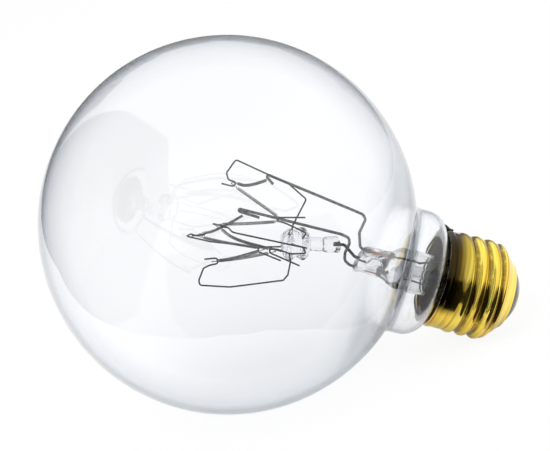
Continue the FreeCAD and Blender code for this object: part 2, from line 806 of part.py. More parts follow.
rest = rest_placement()
nodes = []
for label, piece in PIECES.items():
    node = doc.addObject("Part::Compound", label)
    node.Label = label
    node.Links = [piece]
    node.Placement = rest
    nodes.append(node)
doc.recompute()

for item in doc.Objects:
    if "Invalid" in item.State or "Error" in item.State:
        raise RuntimeError("%s could not be built: %s" % (item.Label, item.State))
os.makedirs("parts", exist_ok=True)
for node in nodes:
    shape = node.Shape
    if shape.isNull() or not shape.isValid() or len(shape.Solids) != 1:
        raise RuntimeError("%s is not one valid solid: %d" % (node.Label, len(shape.Solids)))
for node in nodes:
    node.Shape.exportStep("parts/%s.step" % node.Label)
    print("%-24s %10.2f mm3" % (node.Label, node.Shape.Volume))
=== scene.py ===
# %% [markdown]
# # A clear globe bulb, lying on its side
#
# The bulb rests on its glass globe and on the thread of its brass base. This lesson dresses the
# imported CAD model: it turns a smooth glass envelope, winds the filament, rolls a true screw thread
# into the base, and gives each piece a material made of nodes.

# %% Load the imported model
import json
import math
import bmesh
import bpy
from mathutils import Matrix, Vector, noise


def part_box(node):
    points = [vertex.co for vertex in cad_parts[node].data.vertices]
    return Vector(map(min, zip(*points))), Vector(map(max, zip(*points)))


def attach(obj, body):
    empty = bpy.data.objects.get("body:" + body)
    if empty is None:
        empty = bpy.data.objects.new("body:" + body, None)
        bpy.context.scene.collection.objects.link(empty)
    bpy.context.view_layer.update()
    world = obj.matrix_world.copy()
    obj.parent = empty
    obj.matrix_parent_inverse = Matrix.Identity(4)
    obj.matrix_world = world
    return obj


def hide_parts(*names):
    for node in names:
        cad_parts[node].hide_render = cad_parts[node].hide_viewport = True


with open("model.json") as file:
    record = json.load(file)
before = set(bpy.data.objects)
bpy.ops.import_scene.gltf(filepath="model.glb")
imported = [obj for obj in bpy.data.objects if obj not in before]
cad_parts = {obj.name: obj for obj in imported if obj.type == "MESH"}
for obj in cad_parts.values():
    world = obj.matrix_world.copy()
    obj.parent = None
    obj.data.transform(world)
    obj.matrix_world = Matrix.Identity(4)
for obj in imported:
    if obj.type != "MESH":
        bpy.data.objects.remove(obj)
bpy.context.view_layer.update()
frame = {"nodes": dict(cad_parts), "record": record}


# %% [markdown]
# ## The bulb's own axis
#
# Every turned piece is easiest to shape along the bulb's own axis, from the centre of the globe
# towards the base, and then to lay down in one move. The frame gives both ends of that move: the
# globe's box has the globe's radius and centre, and the mount on the base has the direction of the
# axis. The roll turns the leads towards the viewer, as the bulb came to lie.

# %% The bulb's axis, and the move that lays it down
MM = 0.001
ROLL = math.radians(17.5)

screw_base = next(m for m in frame["record"]["mounts"] if m["name"] == "screw_base")
base_axis = Vector(screw_base["axis"])
globe_low, globe_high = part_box("glass_globe")
GLOBE = (globe_high.z - globe_low.z) / 2 / MM
globe_centre = Vector((globe_low.x, 0, globe_low.z)) + Vector((GLOBE, 0, GLOBE)) * MM
DIP = math.asin(-base_axis.z)
LAID = (
    Matrix.Translation(globe_centre)
    @ Matrix.Rotation(DIP, 4, "Y")
    @ Matrix.Rotation(-ROLL, 4, "X")
    @ Matrix.Scale(MM, 4)
)
AXIS = (LAID.to_3x3() @ Vector((1, 0, 0))).normalized()
print("globe radius %.3f mm, the axis dips %.2f degrees" % (GLOBE, math.degrees(DIP)))

# %% [markdown]
# ## Camera
#
# The camera stands where the photographer's did: above the bulb, with a tall tilt of the frame that
# makes the axis run down to the right. A point straight ahead of the lens and a roll set it up.

# %% Camera
CAMERA_PLACE = Vector((1.756, -339.025, 168.071)) * MM
CAMERA_AIM = Vector((0.635, -0.903, 44.490)) * MM
CAMERA_ROLL = math.radians(-15.0)
SENSOR = 36.0
VIEW_WIDTH_PX = 550
FOCAL_PX = 1423.6

camera = bpy.data.objects.new("camera", bpy.data.cameras.new("camera"))
bpy.context.scene.collection.objects.link(camera)
camera.data.sensor_width = SENSOR
camera.data.lens = FOCAL_PX * SENSOR / VIEW_WIDTH_PX
camera.data.clip_start = 0.01
camera.data.clip_end = 20.0
aim = (CAMERA_AIM - CAMERA_PLACE).to_track_quat("-Z", "Y").to_matrix().to_4x4()
camera.matrix_world = Matrix.Translation(CAMERA_PLACE) @ aim @ Matrix.Rotation(CAMERA_ROLL, 4, "Z")
bpy.context.scene.camera = camera
bpy.context.scene.view_settings.view_transform = "Standard"
print("lens %.1f mm" % camera.data.lens)

# %% [markdown]
# ## Helpers for pieces
#
# Each new piece starts as a bmesh along the bulb's axis in millimetres. One helper turns an outline
# with the spin operator. Another finishes a piece: it lays the mesh down, makes the object, and lets
# it ride on the body. The objects stay at the origin, with their places in their meshes.

# %% Helpers for pieces
ROOT = "root"


def finish_piece(name, mesh, material, replaced=(), sharp_degrees=None):
    """Lays a bmesh down as a piece of the bulb, in place of the CAD nodes that it stands for."""
    bmesh.ops.transform(mesh, matrix=LAID, verts=mesh.verts)
    data = bpy.data.meshes.new(name)
    mesh.to_mesh(data)
    mesh.free()
    data.shade_smooth()
    if sharp_degrees:
        data.set_sharp_from_angle(angle=math.radians(sharp_degrees))
    data.materials.append(material)
    piece = bpy.data.objects.new(name, data)
    bpy.context.scene.collection.objects.link(piece)
    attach(piece, ROOT)
    if replaced:
        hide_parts(*replaced)
    print("%s: %d faces" % (name, len(data.polygons)))
    return piece


def arc(centre, radius, start, end, steps):
    """Points of an arc in an outline, by degrees: 0 is along the axis, 90 is outwards."""
    points = []
    for step in range(steps + 1):
        turn = math.radians(start + (end - start) * step / steps)
        points.append((centre[0] + radius * math.cos(turn), centre[1] + radius * math.sin(turn)))
    return points


def spun(outline, steps):
    """An outline of (place, distance from the axis), spun round the axis into a skin."""
    mesh = bmesh.new()
    corners = [mesh.verts.new((place, 0, radius)) for place, radius in outline]
    edges = [mesh.edges.new(pair) for pair in zip(corners, corners[1:])]
    bmesh.ops.spin(mesh, geom=corners + edges, cent=(0, 0, 0), axis=(1, 0, 0), dvec=(0, 0, 0),
                   angle=math.tau, steps=steps, use_merge=True)
    bmesh.ops.remove_doubles(mesh, verts=mesh.verts, dist=0.0005)
    bmesh.ops.recalc_face_normals(mesh, faces=mesh.faces)
    return mesh


# %% [markdown]
# ## Helpers for materials
#
# A material is a tree of nodes, and the same few branches come back in each: a noise in millimetres,
# a colour ramp over it, a spread of roughness, a bump. Each has a helper that takes what feeds it
# and returns the socket that comes out. Patterns read Object coordinates. Two more helpers tell how
# far along the bulb's axis a point lies, and turn such a distance into a smooth step.

# %% Helpers for materials


def set_sizes(node, **values):
    """Sets a node's or a shader's own sockets by name, with _ for a space."""
    for name, value in values.items():
        node.inputs[name.replace("_", " ")].default_value = value


def new_material(name):
    """An empty node material with its Principled shader: (material, nodes, links, shader)."""
    material = bpy.data.materials.new(name)
    material.use_nodes = True
    nodes, links = material.node_tree.nodes, material.node_tree.links
    return material, nodes, links, nodes["Principled BSDF"]


def add_noise(nodes, links, scale, stretch=(1, 1, 1), **values):
    """A noise with its scale per millimetre, stretched along the bulb's axes."""
    place = nodes.new("ShaderNodeTexCoord")
    mapping = nodes.new("ShaderNodeMapping")
    mapping.vector_type = "TEXTURE"
    mapping.inputs["Rotation"].default_value = (0, DIP, 0)
    mapping.inputs["Scale"].default_value = [MM / side for side in stretch]
    texture = nodes.new("ShaderNodeTexNoise")
    set_sizes(texture, Scale=scale, **values)
    links.new(place.outputs["Object"], mapping.inputs["Vector"])
    links.new(mapping.outputs["Vector"], texture.inputs["Vector"])
    return texture.outputs["Fac"]


def add_ramp(nodes, links, source, stops):
    """A colour ramp over a value: stops are (position, colour)."""
    ramp = nodes.new("ShaderNodeValToRGB")
    while len(ramp.color_ramp.elements) < len(stops):
        ramp.color_ramp.elements.new(0.5)
    for element, (position, colour) in zip(ramp.color_ramp.elements, stops):
        element.position = position
        element.color = (*colour, 1)
    links.new(source, ramp.inputs["Fac"])
    return ramp.outputs["Color"]


def add_spread(nodes, links, source, low, high, **limits):
    """A value spread from low to high, such as a noise between two roughnesses."""
    spread = nodes.new("ShaderNodeMapRange")
    set_sizes(spread, To_Min=low, To_Max=high, **limits)
    links.new(source, spread.inputs["Value"])
    return spread.outputs["Result"]


def add_bump(nodes, links, source, shader, depth_mm, strength=1.0):
    """Lets a value raise the surface by up to the depth."""
    bump = nodes.new("ShaderNodeBump")
    set_sizes(bump, Distance=depth_mm * MM, Strength=strength)
    links.new(source, bump.inputs["Height"])
    links.new(bump.outputs["Normal"], shader.inputs["Normal"])


def add_mix(nodes, links, share, first, second, shader_out):
    """Mixes two shaders by a share into the material's surface."""
    mix = nodes.new("ShaderNodeMixShader")
    links.new(share, mix.inputs["Fac"])
    links.new(first, mix.inputs[1])
    links.new(second, mix.inputs[2])
    links.new(mix.outputs["Shader"], shader_out)


def sum_node(nodes, links, operation, first, second, vector=False):
    """One sum in a node tree. Each input is a socket, a number or a vector."""
    node = nodes.new("ShaderNodeVectorMath" if vector else "ShaderNodeMath")
    node.operation = operation
    for socket, value in zip(node.inputs, (first, second)):
        if isinstance(value, bpy.types.NodeSocket):
            links.new(value, socket)
        else:
            socket.default_value = value
    return node.outputs["Value"] if operation == "DOT_PRODUCT" or not vector else node.outputs["Vector"]


def smooth_step(nodes, links, value, zero_at, one_at):
    """0 on one side, 1 on the other, and a smooth rise between."""
    step = nodes.new("ShaderNodeMapRange")
    step.interpolation_type = "SMOOTHSTEP"
    set_sizes(step, From_Min=zero_at, From_Max=one_at)
    links.new(value, step.inputs["Value"])
    return step.outputs["Result"]


def place_on_axis(nodes, links):
    """A point's way from the centre of the globe, and how far that goes along the bulb's axis."""
    coordinates = nodes.new("ShaderNodeTexCoord").outputs["Object"]
    own = sum_node(nodes, links, "SUBTRACT", coordinates, globe_centre, vector=True)
    return own, sum_node(nodes, links, "DOT_PRODUCT", own, AXIS, vector=True)


# %% [markdown]
# ## Clear glass
#
# Blown glass is clear where we look straight through it and turns blue-grey towards its rim, where
# the eye looks along the wall. A Layer Weight drives that tint through a ramp; its last and darkest
# stop goes beyond the glass's own tint, a painted shade along the rim. Where the globe turns into
# its neck the glass gathers, and there the value is pushed up the ramp, a band of painted shade;
# beyond it the neck is clear again. A slow noise makes the wall a little uneven, as breath in a
# mould leaves it.
# Lamps would cast a black shadow through refracting glass, so shadow rays meet a Transparent shader
# instead, and the wires inside are lit as they should be.

# %% Glass material
SIDE_VIEW = 0.35
CLEAR_UNTIL = 0.34
HALF_TINTED = 0.49
TINTED = 0.61
DARKEST = 0.75
DARKENING = 0.5
NECK_SHADE_FROM = 34
NECK_SHADE_TO = 44
NECK_FROM = 44.5
NECK_TO = 47
GLASS_UNEVENNESS = 0.02
SHADOW_TINT = (0.93, 0.95, 0.96, 1)


def glass_material(name, clear, rim, waves_mm, bending=1.5, neck_shade_strength=0.2):
    """Clear glass with a tint at its rim that ends in painted shade, slow waves, and a band of painted shade
    before the neck.
    """
    material, nodes, links, shader = new_material(name)
    set_sizes(shader, Roughness=0.0, IOR=bending, Transmission_Weight=1.0)
    weight = nodes.new("ShaderNodeLayerWeight")
    set_sizes(weight, Blend=SIDE_VIEW)
    _, along = place_on_axis(nodes, links)
    # Painted shade: a darker band of the glass where the globe turns into its neck, clear again on the neck.
    neck_shade = smooth_step(nodes, links, along, NECK_SHADE_FROM * MM, NECK_SHADE_TO * MM)
    thin = smooth_step(nodes, links, along, NECK_FROM * MM, NECK_TO * MM)
    neck_shade = sum_node(nodes, links, "SUBTRACT", neck_shade, thin)
    neck_shade = sum_node(nodes, links, "MULTIPLY", neck_shade, neck_shade_strength)
    # The ramp reads the Layer Weight plus the painted shade of the neck band.
    depth = sum_node(nodes, links, "ADD", weight.outputs["Facing"], neck_shade)
    halfway = [(one + other) / 2 for one, other in zip(clear, rim)]
    dark = [side * side * DARKENING for side in rim]
    # The ramp's darkest stop is painted shade along the rim, beyond the glass's own blue-grey tint.
    tint = add_ramp(nodes, links, depth, [
        (0.0, clear), (CLEAR_UNTIL, clear), (HALF_TINTED, halfway), (TINTED, rim), (DARKEST, dark)])
    links.new(tint, shader.inputs["Base Color"])
    waves = add_noise(nodes, links, 1 / waves_mm, Detail=2.0)
    add_bump(nodes, links, waves, shader, GLASS_UNEVENNESS)
    through = nodes.new("ShaderNodeBsdfTransparent")
    set_sizes(through, Color=SHADOW_TINT)
    shadow = nodes.new("ShaderNodeLightPath").outputs["Is Shadow Ray"]
    add_mix(nodes, links, shadow, shader.outputs["BSDF"], through.outputs["BSDF"],
            nodes["Material Output"].inputs["Surface"])
    return material


globe_glass = glass_material(
    "globe_glass", (0.975, 0.98, 0.99), (0.72, 0.75, 0.80), 14, bending=1.62, neck_shade_strength=0.32)
stem_glass = glass_material("stem_glass", (0.90, 0.90, 0.905), (0.66, 0.67, 0.70), 4.0)
cane_glass = glass_material("cane_glass", (0.95, 0.965, 0.985), (0.86, 0.89, 0.94), 4.0)

# %% [markdown]
# ## Envelope
#
# The globe is blown into a short neck, which closes over a rounded shoulder into the narrow seat
# that the base slips over. The outline runs along the outside only. It is spun into a skin, and a
# solidify gives the skin the wall of blown glass.

# %% Envelope
WALL = 0.6
NECK = 16.4
BLEND = 4.0
SEAT = 11.2
NECK_LENGTH = 2.08
SHOULDER = NECK - SEAT
SHELL_GAP = 0.6
SEAL_REACH = 7.7

blend_height = NECK + BLEND
blend_place = math.sqrt((GLOBE + BLEND) ** 2 - blend_height ** 2)
blend_angle = math.degrees(math.atan2(blend_height, blend_place))
neck_end = blend_place + NECK_LENGTH
RIM = neck_end + SHOULDER + SHELL_GAP
SEAL = RIM + SEAL_REACH

skin = arc((0, 0), GLOBE, 180, blend_angle, 80)
skin += arc((blend_place, blend_height), BLEND, 180 + blend_angle, 270, 10)[1:]
skin += arc((neck_end, SEAT), SHOULDER, 90, 0, 16)
skin += [(RIM, SEAT), (SEAL, SEAT)]
envelope_mesh = spun(skin, steps=160)
bmesh.ops.solidify(envelope_mesh, geom=envelope_mesh.faces, thickness=WALL)
envelope = finish_piece("envelope", envelope_mesh, globe_glass, ["glass_globe"], sharp_degrees=50)
print("the envelope ends %.1f mm from the globe's centre" % SEAL)

# %% [markdown]
# ## Stem
#
# The stem is a flared tube, sealed to the envelope out of sight in the base. Its inner end was
# softened and pinched flat round the wires. The same happens here: the tube is turned round, and
# then every ring past the start of the press is squeezed across and spread along the press. A
# little noise leaves the lumps and creases that the pinching tool makes.

# %% Stem
STEM = 5.5
STEM_WALL = 0.8
FLARE_EDGE = 0.9
FLARE = SEAT - STEM - FLARE_EDGE
STEM_LENGTH = 28.1
PRESS_LENGTH = 6.6
PRESS_TAPER = 5.0
PRESS = SEAL - STEM_LENGTH
PRESS_END = PRESS + PRESS_LENGTH
TUBE_START = PRESS_END + PRESS_TAPER
PRESS_WIDTH = 10.8
PRESS_THICKNESS = 3.2
PRESS_TURN = math.radians(55)
PRESS_CORNER = 0.7
PINCH_EASE = 1.0
TUBE_CORNER = 2.0
RING_GAP = 0.5
STEM_RINGS = 32
STEM_LUMPS = [(0.45, 0, 0.38), (1.3, 0, 0.07)]
STEM_LUMP_LENGTHWAYS = 0.5
STEM_LUMP_WIDTHWAYS = 0.3

stem_outline = [(PRESS, STEM * step / 4) for step in range(4)]
stem_outline += arc((PRESS + PRESS_CORNER, STEM - PRESS_CORNER), PRESS_CORNER, 180, 90, 4)
stem_outline += [(PRESS + PRESS_CORNER + RING_GAP * step, STEM) for step in range(1, STEM_RINGS + 1)]
stem_outline += [(SEAL - FLARE, STEM)]
stem_outline += arc((SEAL - FLARE, STEM + FLARE), FLARE, 270, 360, 10)[1:]
stem_outline += [(SEAL, SEAT), (SEAL + STEM_WALL, SEAT)]
stem_outline += arc((SEAL - FLARE, STEM + FLARE), FLARE + STEM_WALL, 360, 270, 10)
stem_outline += arc((TUBE_START + TUBE_CORNER, STEM - STEM_WALL - TUBE_CORNER), TUBE_CORNER, 90, 180, 5)
stem_outline += [(TUBE_START, 0)]
stem_mesh = spun(stem_outline, steps=96)

along_press = Vector((0, -math.sin(PRESS_TURN), math.cos(PRESS_TURN)))
across_press = Vector((0, math.cos(PRESS_TURN), math.sin(PRESS_TURN)))


def ease(value, low, high):
    """0 below low, 1 above high, and a smooth rise between them."""
    share = min(max((value - low) / (high - low), 0), 1)
    return share * share * (3 - 2 * share)


def lump_at(place, lumps):
    """How far glass swells at a place, by layers of noise: (waves per mm, shift of the noise, swelling)."""
    swell = 0.0
    for waves, shift, swelling in lumps:
        swell += noise.noise(place * waves + Vector((shift, 0, 0))) * swelling
    return swell


for vert in stem_mesh.verts:
    pinch = 1 - ease(vert.co.x, PRESS_END - PINCH_EASE, TUBE_START)
    wide = vert.co.dot(along_press)
    thin = vert.co.dot(across_press)
    wider = wide * (1 + pinch * (PRESS_WIDTH / 2 / STEM - 1))
    thinner = thin * (1 + pinch * (PRESS_THICKNESS / 2 / STEM - 1))
    swell = pinch * lump_at(vert.co, STEM_LUMPS)
    vert.co = Vector((vert.co.x + swell * STEM_LUMP_LENGTHWAYS, 0, 0))
    vert.co += along_press * wider * (1 + swell * STEM_LUMP_WIDTHWAYS) + across_press * thinner * (1 + swell)
stem = finish_piece("stem_glass", stem_mesh, stem_glass, ["stem"], sharp_degrees=60)

# %% [markdown]
# ## Cane
#
# The glass cane that carries the hooks has a fat button of two lumps, where the support wires were
# pushed into soft glass, then a thin rod and a smaller foot. It is turned like the stem, lumped with
# noise, and tipped into its place with one matrix.

# %% Cane
CANE_REACH = 16.7
CANE_PLACE = PRESS - CANE_REACH
CANE_DROP = 0.5
CANE_DEPTH = 1.3
CANE_RISE = math.radians(12.5)
CANE_RECEDE = math.radians(7.5)
BUTTON = 4.0
BUTTON_HALF = 3.3
BUTTON_CORNER = 1.7
BUTTON_WAIST = 0.55
ROD = 1.75
ROD_LENGTH = 4.4
ROD_FILLET = 0.7
ROD_RINGS = 5
FOOT = 2.2
FOOT_LENGTH = 4.4
FOOT_FILLET = 0.4
FOOT_FILLET_REACH = 0.3
FOOT_CORNER = 0.9
FOOT_TIP = 1.3
CANE_LUMPS = [(0.42, 3.1, 0.17), (1.3, 0, 0.05)]
CANE_LUMP_LENGTHWAYS = 0.2

foot_start = BUTTON_HALF + ROD_LENGTH
foot_end = foot_start + FOOT_LENGTH
cane_outline = [(-BUTTON_HALF, 0)]
cane_outline += arc((-BUTTON_HALF + BUTTON_CORNER, BUTTON - BUTTON_CORNER), BUTTON_CORNER, 180, 60, 8)
cane_outline += [(0, BUTTON - BUTTON_WAIST)]
cane_outline += arc((BUTTON_HALF - BUTTON_CORNER, BUTTON - BUTTON_CORNER), BUTTON_CORNER, 120, 10, 8)
cane_outline += arc((BUTTON_HALF + ROD_FILLET, ROD + ROD_FILLET), ROD_FILLET, 200, 270, 4)
cane_outline += [(BUTTON_HALF + ROD_FILLET + RING_GAP * step, ROD) for step in range(1, ROD_RINGS + 1)]
cane_outline += arc((foot_start - FOOT_FILLET_REACH, ROD + FOOT_FILLET), FOOT_FILLET, 270, 340, 3)
cane_outline += arc((foot_start + FOOT_CORNER, FOOT - FOOT_CORNER), FOOT_CORNER, 170, 90, 5)
cane_outline += arc((foot_end - FOOT_TIP, FOOT - FOOT_TIP), FOOT_TIP, 90, 0, 6)
cane_outline += [(foot_end, 0)]
cane_mesh = spun(cane_outline, steps=72)
for vert in cane_mesh.verts:
    swell = lump_at(vert.co, CANE_LUMPS)
    longer = vert.co.x * (1 + swell * CANE_LUMP_LENGTHWAYS)
    vert.co = Vector((longer, vert.co.y * (1 + swell), vert.co.z * (1 + swell)))
cane_place = (
    Matrix.Translation((CANE_PLACE, CANE_DEPTH, -CANE_DROP))
    @ Matrix.Rotation(CANE_RECEDE, 4, "Z")
    @ Matrix.Rotation(-CANE_RISE, 4, "Y")
)
bmesh.ops.transform(cane_mesh, matrix=cane_place, verts=cane_mesh.verts)
cane = finish_piece("cane_glass", cane_mesh, cane_glass, ["glass_cane"])

# %% [markdown]
# ## Wires
#
# The leads and supports are already right in the CAD model: round wires with tangent bends. They
# only need a finish. Drawn wire has fine lines and a skin of oxide from the heat of sealing, so a
# noise varies both its colour and its shine.

# %% Wire materials
WIRE_PATCHES = 1.1
WIRE_GRAIN = 7.0
WIRE_GRAIN_DEPTH = 0.02


def wire_material(name, dark, pale, low_rough, high_rough):
    """Drawn wire between two colours and two roughnesses."""
    material, nodes, links, shader = new_material(name)
    set_sizes(shader, Metallic=1.0)
    patches = add_noise(nodes, links, WIRE_PATCHES, Detail=4.0, Roughness=0.6)
    links.new(add_ramp(nodes, links, patches, [(0.35, dark), (0.68, pale)]), shader.inputs["Base Color"])
    links.new(add_spread(nodes, links, patches, low_rough, high_rough), shader.inputs["Roughness"])
    grain = add_noise(nodes, links, WIRE_GRAIN, stretch=(0.15, 1, 1), Detail=2.0)
    add_bump(nodes, links, grain, shader, WIRE_GRAIN_DEPTH)
    return material


lead_wire = wire_material("lead_wire", (0.07, 0.067, 0.067), (0.24, 0.235, 0.23), 0.28, 0.5)
support_wire = wire_material("support_wire", (0.015, 0.015, 0.018), (0.06, 0.06, 0.065), 0.3, 0.5)
dark_wire = wire_material("dark_wire", (0.02, 0.02, 0.022), (0.06, 0.055, 0.055), 0.35, 0.6)
seal_wire = wire_material("seal_wire", (0.30, 0.10, 0.07), (0.62, 0.28, 0.20), 0.25, 0.45)
coil_wire = wire_material("coil_wire", (0.07, 0.07, 0.075), (0.24, 0.24, 0.25), 0.25, 0.45)

NODE_FINISH = {
    "inner_lead_upper": lead_wire,
    "inner_lead_lower": lead_wire,
    "seal_wire_upper": seal_wire,
    "seal_wire_lower": seal_wire,
    "outer_lead_shell": dark_wire,
    "outer_lead_contact": dark_wire,
    "cane_wire": dark_wire,
}
for node_name in frame["nodes"]:
    if node_name.startswith("support_"):
        NODE_FINISH[node_name] = support_wire
print("wires to finish:", len(NODE_FINISH))

# %% [markdown]
# ## Line of the filament
#
# The filament is a fine wire wound into a coil, and the coil is slung from lead to lead round seven
# hooks. A smooth NURBS line carries the route. Each span hangs a little below the straight line
# between its hooks, most where the photograph shows it slack, so a span has the share of its length
# where it hangs lowest, and how far.

# %% Line of the filament
ROUTE = [(7.1, 3.95, 13.33), (-2.61, -2.83, 10.28), (12.21, -8.34, 4.33), (-5.02, -10.36, -0.83),
         (12.49, -7.16, -3.44), (-2.1, -0.71, -10.24), (11.97, 6.29, -3.83), (-6.3, 9.93, -5.0),
         (4.2, 8.3, 3.1)]
ROUND_REACH = 1.5
SAGS = [(0.5, 1.5), (0.5, 0.0), (0.5, 0.2), (0.3, 1.7), (0.5, 0.3), (0.4, 0.5), (0.6, 0.3), (0.45, 1.2)]
DOWN = Vector((0.2, -0.35, -0.9))


def add_spline(data, kind, places):
    """Adds one spline through the places to a curve."""
    spline = data.splines.new(kind)
    spline.points.add(len(places) - 1)
    for point, place in zip(spline.points, places):
        point.co = (*place, 1)
    return spline


def new_curve(name):
    """An empty curve in three dimensions."""
    data = bpy.data.curves.new(name, "CURVE")
    data.dimensions = "3D"
    return data


def mesh_of(data):
    """The mesh that a curve makes. The curve itself stays out of the scene."""
    holder = bpy.data.objects.new(data.name, data)
    mesh = bpy.data.meshes.new_from_object(holder)
    bpy.data.objects.remove(holder)
    return mesh


route = [Vector(point) for point in ROUTE]
line_points = [route[0]]
for before, after, (share, sag) in zip(route, route[1:], SAGS):
    run = (after - before).normalized()
    if before != route[0]:
        line_points += [before, before + run * ROUND_REACH]
    line_points.append(before.lerp(after, share) + DOWN * sag)
    if after != route[-1]:
        line_points.append(after - run * ROUND_REACH)
line_points.append(route[-1])

line_data = new_curve("filament_line")
line_data.resolution_u = 24
spline = add_spline(line_data, "NURBS", line_points)
spline.order_u = 3
spline.use_endpoint_u = True
line_mesh = mesh_of(line_data)
line = [vert.co.copy() for vert in line_mesh.vertices]
bpy.data.meshes.remove(line_mesh)
print("the filament's line has %d points" % len(line))

# %% [markdown]
# ## Winding of the filament
#
# The winding follows the line: at every step it turns a little further round it. At each hook the
# turns are drawn out and thin, as they are where a real coil was left unwound to lie in the hook.

# %% Winding of the filament
COIL = 0.44
COIL_WIRE = 0.1
TURN_PITCH = 0.28
STEPS_PER_TURN = 10
OPEN_PITCH = 1.6
OPEN_COIL = 0.06
OPEN_REACH = 2.1
FULLY_OPEN = 0.6
FULLY_WOUND = 1.3


def near_hook(point):
    """1 in the bend at a hook, 0 on the straight runs."""
    gap = min((point - corner).length for corner in route[1:-1])
    return 1 - ease(gap, OPEN_REACH * FULLY_OPEN, OPEN_REACH * FULLY_WOUND)


turns = []
side = (line[1] - line[0]).orthogonal().normalized()
angle = 0.0
for start, end in zip(line, line[1:]):
    run = end - start
    way = run.normalized()
    side = (side - way * side.dot(way)).normalized()
    walked = 0.0
    while walked < run.length:
        point = start + way * walked
        opened = near_hook(point)
        radius = (COIL - COIL_WIRE) * (1 - opened) + OPEN_COIL * opened
        pitch = TURN_PITCH * (1 - opened) + OPEN_PITCH * opened
        turns.append(point + Matrix.Rotation(angle, 3, way) @ side * radius)
        angle += math.tau / STEPS_PER_TURN
        walked += pitch / STEPS_PER_TURN

coil_data = new_curve("coil")
coil_data.bevel_depth = COIL_WIRE
coil_data.bevel_resolution = 0
coil_data.use_fill_caps = True
add_spline(coil_data, "POLY", turns)
coil_shape = mesh_of(coil_data)
coil_mesh = bmesh.new()
coil_mesh.from_mesh(coil_shape)
bpy.data.meshes.remove(coil_shape)
filament = finish_piece("filament_coil", coil_mesh, coil_wire, ["filament"])
print("the coil has %d turns" % (len(turns) / STEPS_PER_TURN))

# %% [markdown]
# ## Brass
#
# Rolled brass has fine streaks round it in the direction of the rolling. Beside the rim, on the side
# where the lead was soldered, the flame and the flux have burnt it nearly black. The roots of the
# thread are darkened in patches with the same near-black colour, a painted shade for the hollows
# between the crests. The streaks are a noise stretched round the base. The burnt parts and the
# painted shade are worked out from each point's place along the axis and its distance from it.

# %% Brass material
# The colour of the burnt brass beside the rim, which is also laid into the thread's roots as painted shade.
BURNT_AND_SHADED_BRASS = (0.035, 0.024, 0.008)
STREAKS = 1.5
STREAK_STRETCH = (1, 0.03, 0.03)
STREAK_DEPTH = 0.01
CLOUDS = 0.35
BURN_START = 1.6
BURN_REACH = 8.0
BURN_MIDDLE = math.radians(65)
BURN_EDGE_LOW = 4.0
BURN_EDGE_HIGH = 7.5
# Painted shade in the roots of the thread: its strength, the radii it spans, and the patches of the cloud it
# follows.
ROOT_SHADE = 0.7
ROOT_SHADE_START = 12.3
ROOT_SHADE_END = 12.62
SHADE_PATCH_LOW = 0.2
SHADE_PATCH_HIGH = 0.55
FOOT_PLACE = 15.3
FOOT_FADE = 0.4
FOOT_START = RIM + FOOT_PLACE


def burn_and_root_shade(nodes, links, cloud):
    """How dark the brass is: burnt beside the rim on the side of the solder, and painted shade in the roots
    of the thread.
    """
    own, along = place_on_axis(nodes, links)
    solder_side = (LAID.to_3x3() @ Vector((0, -math.sin(BURN_MIDDLE), math.cos(BURN_MIDDLE)))).normalized()
    sideways = sum_node(nodes, links, "DOT_PRODUCT", own, solder_side, vector=True)
    across = sum_node(nodes, links, "CROSS_PRODUCT", own, AXIS, vector=True)
    radius = sum_node(nodes, links, "DOT_PRODUCT", across, across, vector=True)
    radius = sum_node(nodes, links, "POWER", radius, 0.5)
    beside_rim = smooth_step(nodes, links, along, (RIM + BURN_REACH) * MM, (RIM + BURN_START) * MM)
    on_solder_side = smooth_step(nodes, links, sideways, BURN_EDGE_LOW * MM, BURN_EDGE_HIGH * MM)
    rim_burn = sum_node(nodes, links, "MULTIPLY", beside_rim, on_solder_side)
    # Painted shade: the roots of the thread darken in patches, as the hollows between the crests would be
    # shaded.
    in_roots = smooth_step(nodes, links, radius, ROOT_SHADE_END * MM, ROOT_SHADE_START * MM)
    before_foot = smooth_step(
        nodes, links, along, (FOOT_START + FOOT_FADE) * MM, (FOOT_START - FOOT_FADE) * MM)
    root_shade = sum_node(nodes, links, "MULTIPLY", in_roots, before_foot)
    patches = smooth_step(nodes, links, cloud, SHADE_PATCH_LOW, SHADE_PATCH_HIGH)
    root_shade = sum_node(nodes, links, "MULTIPLY", root_shade, patches)
    root_shade = sum_node(nodes, links, "MULTIPLY", root_shade, ROOT_SHADE)
    return sum_node(nodes, links, "MAXIMUM", rim_burn, root_shade)


def brass_material():
    """Rolled brass with streaks, clouds of shine, burnt parts and painted shade in the roots of the thread.
    """
    material, nodes, links, shader = new_material("rolled_brass")
    set_sizes(shader, Metallic=1.0)
    streaks = add_noise(nodes, links, STREAKS, stretch=STREAK_STRETCH, Detail=2.0)
    clean = add_ramp(nodes, links, streaks, [
        (0.28, (0.58, 0.27, 0.05)), (0.44, (0.84, 0.57, 0.07)), (0.62, (0.93, 0.74, 0.13))])
    cloud = add_noise(nodes, links, CLOUDS, Detail=5.0, Roughness=0.65)
    colour = nodes.new("ShaderNodeMix")
    colour.data_type = "RGBA"
    colour.inputs["B"].default_value = (*BURNT_AND_SHADED_BRASS, 1)
    links.new(burn_and_root_shade(nodes, links, cloud), colour.inputs["Factor"])
    links.new(clean, colour.inputs["A"])
    links.new(colour.outputs["Result"], shader.inputs["Base Color"])
    shine = add_spread(nodes, links, cloud, 0.09, 0.24, From_Min=0.3, From_Max=0.7)
    links.new(shine, shader.inputs["Roughness"])
    add_bump(nodes, links, streaks, shader, STREAK_DEPTH, strength=0.5)
    return material


rolled_brass = brass_material()

# %% [markdown]
# ## Screw shell
#
# The base is thin brass, rolled between dies into a right-handed thread of round crests and round
# roots. A turned tube gives the sheet, with many rings along it and the shallow ripples of its drawn
# foot. Each vertex then moves in by the thread's section, which climbs by one pitch in each turn,
# and fades in and out at the ends as the rolling does. A solidify gives the sheet its thickness.

